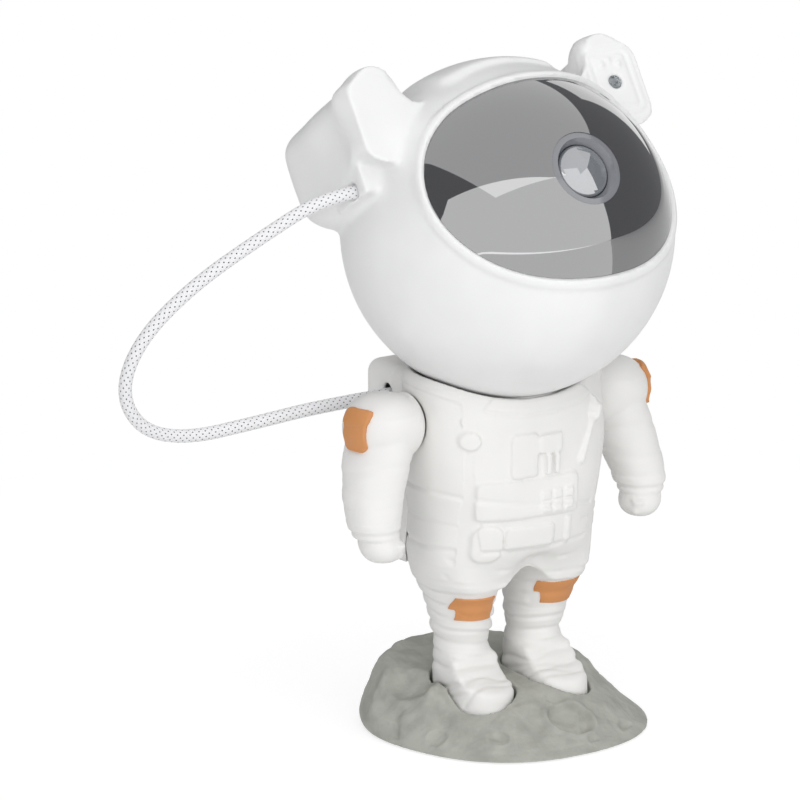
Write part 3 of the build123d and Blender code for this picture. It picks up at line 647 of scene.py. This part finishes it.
def soften_legs(mesh):
    """Rounds the step from trunk to legs, and the boots."""
    height = points_of(mesh)[:, 2]
    hips = smooth_step(38, 45, height) * (1 - smooth_step(58, 62.5, height))
    boots = smooth_step(12, 15, height) * (1 - smooth_step(27, 31, height))
    relax(mesh, 200, 0.5, hips)
    relax(mesh, 45, 0.5, boots)


def collar_relief(points, from_ball):
    """A welt that follows the neck, with a seam under it."""
    collar = from_ball + 0.05 * np.maximum(-20 - points[:, 0], 0)
    welt = 0.3 * smooth_step(-COLLAR_SEAM - 0.2, 0.8 - COLLAR_SEAM, -collar) * (points[:, 2] < 121)
    return welt + groove(collar - COLLAR_SEAM, 0.45, 0.35) * (points[:, 2] > 100)


def belt_relief(points, front):
    """A band between two lines, a little fuller than the trunk, with a seam along it off the chest box."""
    x, _, z = points.T
    top = BELT_TOP - 0.16 * x
    band = smooth_step(0, 1.2, top - z) * smooth_step(0, 1.2, z - BELT_LOW)
    edges = groove(z - top - 0.3, 0.7, 0.4) + groove(z - BELT_LOW + 0.3, 0.7, 0.5)
    seam = groove(z - 73.6 + 0.05 * x, 0.6, 0.3) * (1 - front * (np.abs(x + 5) < 21))
    return 0.35 * band + edges + seam


def trouser_relief(points, front):
    """The crease between the thighs, slanting creases below the belt, level folds lower down."""
    x, _, z = points.T
    push = -1.8 * np.exp(-((x / 2.4) ** 2)) * (1 - smooth_step(53, 61, z)) * (z > 47) * front
    for start, end, depth in HIP_CREASES:
        push += groove(from_line(points, start, end), 1.0, depth)
    folds = cloth_folds(points, 27, 55, 4.6, 0.38, 3)
    under_patches = np.maximum(soft_band(x, 16, 8.6, 1.0), soft_band(x, -18.2, 7.4, 1.0))
    under_patches = under_patches * soft_band(z, 44.6, 4.6, 1.2) * front
    return push + folds * (1 - under_patches) - 0.25 * under_patches


def chest_relief(points, front):
    """Shallow creases above the belt, the hose to the chest box, and the strap beside the pouch."""
    x, _, z = points.T
    push = 0.16 * drift(points * [1, 1, 0.7], 13, 11) * (z > 60)
    for start, end, radius in CHEST_HOSE:
        push += 0.9 * np.sqrt(np.clip(radius**2 - from_line(points, start, end) ** 2, 0, None)) * front
    return push + 0.7 * soft_band(x, 9.4, 0.9, 0.5) * soft_band(z, 70.8, 4.6, 0.8) * front


def boot_relief(points):
    """Creases that slant over the instep and round the ankle, and a lumpy cloth skin."""
    x, y, z = points.T
    low = (1 - smooth_step(26, 29, z)) * smooth_step(11.5, 13, z)
    stray = 0.9 * drift(points, 13, 62)
    outside = np.abs(x) - 15
    push = 0.3 * drift(points, 8, 61)
    for along, height, slant, at, depth in BOOT_CREASES:
        push += groove(along * y + height * z + slant * outside + stray - at, 0.9, depth)
    return push * low


def suit():
    """Trunk, legs and boots, moulded in one, with collar, belt, creases, hose and strap."""
    mesh = evenly(joined("torso_front", "torso_rear"), SUIT_VOXEL)
    relax(mesh, 3)
    move_points(mesh, trousers(points_of(mesh)))
    soften_legs(mesh)
    points = points_of(mesh)
    normal = outward(mesh)
    x, y, z = points.T
    from_ball = np.linalg.norm(points - [0, 0, BALL_HEIGHT], axis=1)
    front = smooth_step(0.1, 0.5, -normal[:, 1])
    half, (back, ahead), (bottom, top) = TRUNK_HOLLOW
    inner = (np.abs(x) < half) & (y > back) & (y < ahead) & (z > bottom) & (z < top)
    push = collar_relief(points, from_ball) + belt_relief(points, front) + trouser_relief(points, front)
    push += chest_relief(points, front) + boot_relief(points)
    push *= smooth_step(LIP_RADIUS + 0.1, LIP_RADIUS + 0.8, from_ball) * ~inner
    move_points(mesh, points + normal * push[:, None])
    relax(mesh, 1, 0.4)
    mesh = thinned(mesh, SUIT_SHARE)
    return piece_from(mesh, "suit_shells", "stand", suit_abs, ("torso_front", "torso_rear"))


def sleeve(side):
    """One arm: the shoulder ball, smooth padded sleeve, cuff and mitten, moulded in one."""
    node = "arm_" + side
    mesh = evenly(joined(node), SLEEVE_VOXEL)
    relax(mesh, 6)
    points = points_of(mesh)
    normal = outward(mesh)
    x, y, z = points.T
    away = smooth_step(35.5, 38, np.abs(x))
    push = cloth_folds(points, 78, 90, 6.4, 0.12, 21 if side == "left" else 27)
    push += groove(z - 75.4, 0.8, 0.45) + 0.25 * soft_band(z, 77.6, 1.0, 0.9)
    push += groove(z - 95.5 + 0.25 * y, 1.4, 0.3) + groove(z - 88.5 - 0.2 * y, 1.6, 0.22)
    push += 0.2 * drift(points, 14, 5)
    points += normal * (push * away)[:, None]
    # the shoulder's top, a little lower than round
    points[:, 2] -= 0.26 * np.maximum(points[:, 2] - 113, 0) * away
    move_points(mesh, points)
    relax(mesh, 1, 0.4)
    return piece_from(mesh, "sleeve_" + side, node, suit_abs, (node,))


def patch(node, body, cloth, thin, thick, pitch, lift=0.0):
    """Raised cloth patch laid on the moulded suit, with soft edges and ridges across it."""
    mesh = evenly(joined(node), PATCH_VOXEL)
    relax(mesh, 3)
    points = points_of(mesh)
    points[:, 2] += lift
    normal = outward(mesh)
    below = cloth.data
    under = BVHTree.FromPolygons([v.co for v in below.vertices], [p.vertices for p in below.polygons])
    for index, point in enumerate(points):
        place, up, _, _ = under.find_nearest(Vector(point) * MM)
        place = np.array(place) / MM
        up = np.array(up)
        height = (point - place) @ up
        facing = normal[index] @ up
        if facing > 0.2:
            height = min(max(height, thin), thick) + 0.1 * math.sin(2 * math.pi * point[2] / pitch)
        elif facing < -0.2:
            height = -0.4
        points[index] = place + up * height
    move_points(mesh, points)
    relax(mesh, 2, 0.4)
    return piece_from(mesh, node + "_cloth", body, patch_paint, (node,))


def pack_case():
    """Backpack case: softened box with a moulded seam round it and a small knob on top."""
    mesh = evenly(joined("backpack"), PACK_VOXEL)
    relax(mesh, 4)
    points = points_of(mesh)
    x, y, z = points.T
    push = groove(y - 25.0, 0.4, 0.35)
    push += groove(np.hypot(x + 19, y - 31), 1.0, -0.7) * (z > 119)
    move_points(mesh, points + outward(mesh) * push[:, None])
    return piece_from(mesh, "pack_case", "stand", suit_abs, ("backpack",))


body_shells = suit()
for hand in ("left", "right"):
    patch("arm_patch_" + hand, "arm_" + hand, sleeve(hand), thin=0.9, thick=1.5, pitch=4.6)
    patch("knee_patch_" + hand, "stand", body_shells, thin=0.45, thick=0.6, pitch=4.3,
          lift=1.4 if hand == "left" else 0.0)
pack_case()


# ---------------------------------------------------------------- base

ROCK_VOXEL = 0.62
# Hollows of the rock: place, width across, depth, height of the rim round it, all in millimetres.
CRATERS = [
    ((5.0, -29.5, 8.2), 16.5, 1.7, 1.2),
    ((-22.6, -28.2, 5.8), 7.4, 0.2, 0.35),
    ((-34.0, 10.0, 12.0), 21.0, 0.5, 0.6),
    ((26.8, -35.4, 5.5), 11.0, 1.5, 0.3),
    ((-15.2, -43.1, 1.8), 6.0, 0.9, 0.15),
    ((-3.6, -43.9, 3.0), 7.0, 1.0, 0.15),
    ((36.0, 0.8, 14.0), 5.5, 0.9, 0.3),
    ((40.5, -5.0, 11.0), 4.5, 0.8, 0.3),
    ((38.0, -16.0, 9.0), 8.0, 0.8, 0.2),
    ((8.0, -40.0, 4.5), 6.0, 0.7, 0.1),
    ((-38.0, -14.0, 6.0), 8.0, 0.7, 0.2),
    ((-28.0, 30.0, 9.0), 10.0, 0.9, 0.3),
    ((10.0, 38.0, 9.0), 13.0, 1.0, 0.4),
    ((33.0, 26.0, 8.0), 8.0, 0.9, 0.3),
]


def moon_rock():
    """The mound: craters with raised rims, broad facets and a lumpy skin, flat underneath."""
    mesh = evenly(joined("moon_base"), ROCK_VOXEL)
    points = points_of(mesh)
    normal = outward(mesh)
    x, y, z = points.T
    skin = smooth_step(0.05, 0.4, normal[:, 2]) * (z > 2.7)
    # how far each place is from the two boot recesses, seen from above
    beside = np.maximum(np.abs(np.abs(x) - 15) - 11.5, 0) + np.maximum(np.abs(y + 1.5) - 18.5, 0)
    clear = smooth_step(0.3, 2.2, beside)
    relax(mesh, 3, 0.5)
    relax(mesh, 10, 0.5, skin * clear * (np.hypot(x, y) < 47))
    points = points_of(mesh)
    push = 0.55 * drift(points, 17, 41) + 0.22 * drift(points, 6.5, 42) + 0.08 * drift(points, 2.6, 43)
    for place, across, depth, rim in CRATERS:
        away = np.linalg.norm(points - np.array(place), axis=1) / (across / 2)
        push -= depth * (1 - smooth_step(0.72, 0.98, away))
        push += rim * np.exp(-(((away - 1.08) / 0.13) ** 2))
    # a ledge that runs down the left flank
    ledge = from_line(points, (-20, 12, 15), (-43, 2, 3))
    side = (points - np.array([-31.5, 7, 9])) @ np.array([0.4, -0.85, 0.35])
    push += 0.7 * np.exp(-((ledge / 4.0) ** 2)) * np.tanh(side / 0.8)
    points += normal * (push * skin * clear)[:, None]
    points[:, 2] = np.maximum(points[:, 2], 0)
    move_points(mesh, points)
    relax(mesh, 1, 0.3)
    return piece_from(mesh, "moon_rock", "stand", moon_plastic, ("moon_base",))


moon_rock()


# ---------------------------------------------------------------- helmet

HELMET_VOXEL = 0.72
HELMET_SHARE = 0.52
# The front face of an ear pod, in the helmet's own axes.
POD_FRONT = -17.5
POD_MIDDLE = (46.0, 38.6)
# The bumps on it: how far out and up.
POD_BUMPS = [(45.5, 46.0), (49.0, 44.5), (42.5, 45.0)]


def in_helmet(points):
    """Places in the helmet's own axes, in millimetres from the ball's centre, before the rest tilt."""
    head = np.array(TILT.inverted())
    return (points * MM @ head[:3, :3].T + head[:3, 3]) / MM


def pod_filler():
    """What closes the ball behind the pods, and the corner of the pod that the cord comes out of."""
    core = bmesh.new()
    bmesh.ops.create_icosphere(core, subdivisions=5, radius=54 * MM)
    behind = bmesh.ops.bisect_plane(core, geom=core.verts[:] + core.edges[:] + core.faces[:],
                                    plane_co=(0, 8 * MM, 0), plane_no=(0, -1, 0), clear_outer=True)
    bmesh.ops.holes_fill(core, edges=[e for e in behind["geom_cut"] if isinstance(e, bmesh.types.BMEdge)])
    corner = bmesh.ops.create_cube(core, size=MM)
    bmesh.ops.scale(core, vec=(12.4, 19.0, 11.0), verts=corner["verts"])
    bmesh.ops.translate(core, vec=(-50.9 * MM, -3.5 * MM, 21.5 * MM), verts=corner["verts"])
    bmesh.ops.transform(core, matrix=TILT, verts=core.verts)
    bmesh.ops.recalc_face_normals(core, faces=core.faces)
    filler = bpy.data.meshes.new("core")
    core.to_mesh(filler)
    core.free()
    return filler


def soften_helmet(mesh):
    """Blends the pods into the ball, and rounds the raised crown."""
    relax(mesh, 3, 0.5)
    local = in_helmet(points_of(mesh))
    x, y, z = local.T
    reach = np.linalg.norm(local, axis=1)
    up = np.degrees(np.arcsin(np.clip(z / reach, -1, 1)))
    side = smooth_step(30, 38, np.abs(x)) * smooth_step(-4, 6, z) * smooth_step(-30, -24, y)
    crown = smooth_step(44, 50, up) * (reach > 54) * (np.abs(x) < 40)
    relax(mesh, 26, 0.5, side * smooth_step(-59.5, -57.0, -reach))
    relax(mesh, 30, 0.5, crown)


def pod_relief(points):
    """The front of the left pod: two outlines round it, and three small bumps."""
    x, y, z = in_helmet(points).T
    across = np.maximum(np.abs(x - POD_MIDDLE[0]) - 5.4, 0)
    border = np.hypot(across, np.maximum(np.abs(z - POD_MIDDLE[1]) - 8.0, 0))
    push = (groove(border - 1.6, 0.9, 0.5) + groove(border - 4.2, 0.9, 0.4)) * (x > 36)
    for out, up in POD_BUMPS:
        push += 0.7 * np.exp(-(((x - out) ** 2 + (z - up) ** 2) / 1.2)) * (x > 0)
    return push * (y < POD_FRONT)


def outlet_relief(points):
    """The cord's outlet: a small hollow round it."""
    outlet = np.hypot(points[:, 1] - CORD_ROUTE[0][1], points[:, 2] - CORD_ROUTE[0][2])
    return -2.2 * (1 - smooth_step(2.0, 3.4, outlet)) * (points[:, 0] < -50)


def helmet():
    """Front shell and both ear pods, moulded as one skin with the pods blended into the ball."""
    form = joined("helmet_front", "pod_left", "pod_right")
    form.from_mesh(pod_filler())
    mesh = evenly(form, HELMET_VOXEL)
    soften_helmet(mesh)
    points = points_of(mesh)
    push = pod_relief(points) + outlet_relief(points)
    move_points(mesh, points + outward(mesh) * push[:, None])
    mesh = thinned(mesh, HELMET_SHARE)
    return piece_from(mesh, "helmet_shell", "helmet", helmet_abs,
                      ("helmet_front", "pod_left", "pod_right"))


# From the projector's axis as Z to the helmet's own axes, where it looks along -Y.
OPTIC = Matrix(((1, 0, 0, 0), (0, 0, -1, 0), (0, 1, 0, 0), (0, 0, 0, 1)))
LENS_RADIUS = 9.15
LENS_BACK = 43.7
LENS_EDGE = 6.4
# The rounded rim: each ring's step inward and its rise.
LENS_RIM = [(0.25, 0.5), (0.35, 0.4), (0.45, 0.3)]
FACETS = 9


def faceted_lens():
    """The lens: a ring round a cut crown whose facets each mirror another part of the room."""
    form = bmesh.new()
    rim = bmesh.ops.create_circle(form, cap_ends=True, cap_tris=False, segments=48, radius=LENS_RADIUS * MM)
    base = form.faces[:]
    bmesh.ops.translate(form, verts=rim["verts"], vec=(0, 0, LENS_BACK * MM))
    made = bmesh.ops.extrude_face_region(form, geom=base)
    verts = [v for v in made["geom"] if isinstance(v, bmesh.types.BMVert)]
    bmesh.ops.translate(form, verts=verts, vec=(0, 0, LENS_EDGE * MM))
    top = [f for f in made["geom"] if isinstance(f, bmesh.types.BMFace)]
    for inset, rise in LENS_RIM:
        bmesh.ops.inset_region(form, faces=top, thickness=inset * MM, depth=0)
        bmesh.ops.translate(form, verts=list({v for f in top for v in f.verts}), vec=(0, 0, rise * MM))
    outer = set(form.faces)
    crown = bmesh.ops.create_cone(form, cap_ends=True, cap_tris=False, segments=FACETS,
                                  radius1=8.1 * MM, radius2=3.4 * MM, depth=1.6 * MM)
    bmesh.ops.translate(form, verts=crown["verts"], vec=(0, 0, 52.0 * MM))
    table = max({f for v in crown["verts"] for f in v.link_faces}, key=lambda f: f.calc_center_median().z)
    bmesh.ops.poke(form, faces=[table], offset=0.5 * MM)
    for face in form.faces:
        face.smooth = face in outer
    bmesh.ops.remove_doubles(form, verts=form.verts, dist=0.005 * MM)
    bmesh.ops.transform(form, matrix=TILT @ OPTIC, verts=form.verts)
    bmesh.ops.recalc_face_normals(form, faces=form.faces)
    mesh = bpy.data.meshes.new("lens")
    form.to_mesh(mesh)
    form.free()
    piece = link(mesh, "faceted_lens", "helmet", lens_facets, smooth=False)
    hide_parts("projection_lens")
    return piece


helmet()
faceted_lens()
dress(frame["nodes"]["lens_bezel"], bezel_grey)


# ---------------------------------------------------------------- studio


WHITE = (1, 1, 1, 1)
# How far from the figure the camera still sees the floor as paper with its shadow, in metres.
SHADOW_FROM = 0.10
SHADOW_TO = 0.36
# Lamps: name, where it hangs, what it faces, its width and height in metres, its watts.
WALL_TURN = math.radians(-21)
WALL_AWAY = 2.9
WALL_HEIGHT = 1.74
LAMPS = [
    ("front wall of light", (math.sin(WALL_TURN) * WALL_AWAY, -math.cos(WALL_TURN) * WALL_AWAY, WALL_HEIGHT),
     (0, 0, WALL_HEIGHT), (10.8, 3.5), 164),
    ("ceiling light", (0, 0, 3.4), (0, 0, 0), (6.5, 6.5), 110),
    ("rim light", (1.7, 1.2, 0.8), (0, 0, 0.15), (0.5, 1.2), 1.8),
]


def floor_paper():
    """Pale matt paper: it keeps the figure's shadow, and runs out into plain white for the camera.

    For glossy rays its half on the camera's side glows as an even bright sheet, a painted reflection.
    """
    made, tree = material("pale paper floor")
    paper = add(tree, "BsdfPrincipled", {"Base Color": linear("#F2F2F2"), "Roughness": 0.7})
    path = add(tree, "LightPath")
    spot = add(tree, "TexCoord").outputs["Object"]
    spread = add(tree, "VectorMath", {0: spot}, operation="LENGTH").outputs["Value"]
    reach = {"Value": spread, "From Min": SHADOW_FROM, "From Max": SHADOW_TO, "To Max": 1.0}
    white = add(tree, "MapRange", {**reach, "To Min": 0.62}, interpolation_type="SMOOTHSTEP")
    glow = add(tree, "MapRange", {**reach, "To Min": 1.2}, interpolation_type="SMOOTHSTEP")
    bright = add(tree, "Emission", {"Color": WHITE, "Strength": glow.outputs["Result"]})
    camera = path.outputs["Is Camera Ray"]
    veil = add(tree, "Math", {0: white.outputs["Result"], 1: camera}, operation="MULTIPLY")
    seen = add(tree, "MixShader", {0: veil.outputs[0], 1: paper.outputs[0], 2: bright.outputs[0]})
    # Painted reflection: glossy rays see the floor's half on the camera's side glow as an even bright sheet.
    place = add(tree, "SeparateXYZ", {"Vector": spot})
    across = add(tree, "Math", {0: place.outputs["X"], 1: 1.19}, operation="MULTIPLY")
    behind = add(tree, "Math", {0: place.outputs["Y"], 1: across.outputs[0]}, operation="ADD")
    sheen_half = add(tree, "Math", {0: behind.outputs[0], 1: 0.0}, operation="LESS_THAN")
    share = add(tree, "Math", {0: sheen_half.outputs[0], 1: path.outputs["Is Glossy Ray"]}, operation="MULTIPLY")
    painted_sheen = add(tree, "Emission", {"Color": WHITE, "Strength": 1.42})
    mix = add(tree, "MixShader", {0: share.outputs[0], 1: seen.outputs[0], 2: painted_sheen.outputs[0]})
    finish_material(tree, mix)
    return made


def lay_floor():
    """A square of floor, 8 metres across."""
    mesh = bpy.data.meshes.new("floor")
    form = bmesh.new()
    bmesh.ops.create_grid(form, x_segments=1, y_segments=1, size=4.0)
    form.to_mesh(mesh)
    form.free()
    floor = bpy.data.objects.new("floor", mesh)
    scene.collection.objects.link(floor)
    floor.data.materials.append(floor_paper())


def white_room():
    """White for the camera, and a dim grey for all other rays."""
    world = bpy.data.worlds.new("room")
    scene.world = world
    world.use_nodes = True
    tree = world.node_tree
    tree.nodes.clear()
    soft = add(tree, "Background", {"Color": linear("#F4F5F7"), "Strength": 0.22})
    seen = add(tree, "Background", {"Color": WHITE, "Strength": 1.0})
    path = add(tree, "LightPath")
    mix = add(tree, "MixShader", {0: path.outputs["Is Camera Ray"], 1: soft.outputs[0], 2: seen.outputs[0]})
    output = tree.nodes.new("ShaderNodeOutputWorld")
    tree.links.new(mix.outputs[0], output.inputs["Surface"])


def hang_lamp(name, place, target, size, power):
    """A soft rectangular lamp that the camera doesn't see."""
    data = bpy.data.lights.new(name, "AREA")
    data.shape = "RECTANGLE"
    data.size, data.size_y = size
    data.energy = power
    item = bpy.data.objects.new(name, data)
    item.location = place
    item.rotation_euler = (Vector(target) - Vector(place)).to_track_quat("-Z", "Y").to_euler()
    item.visible_camera = False
    scene.collection.objects.link(item)


lay_floor()
white_room()
for lamp in LAMPS:
    hang_lamp(*lamp)
scene.view_settings.view_transform = "Standard"
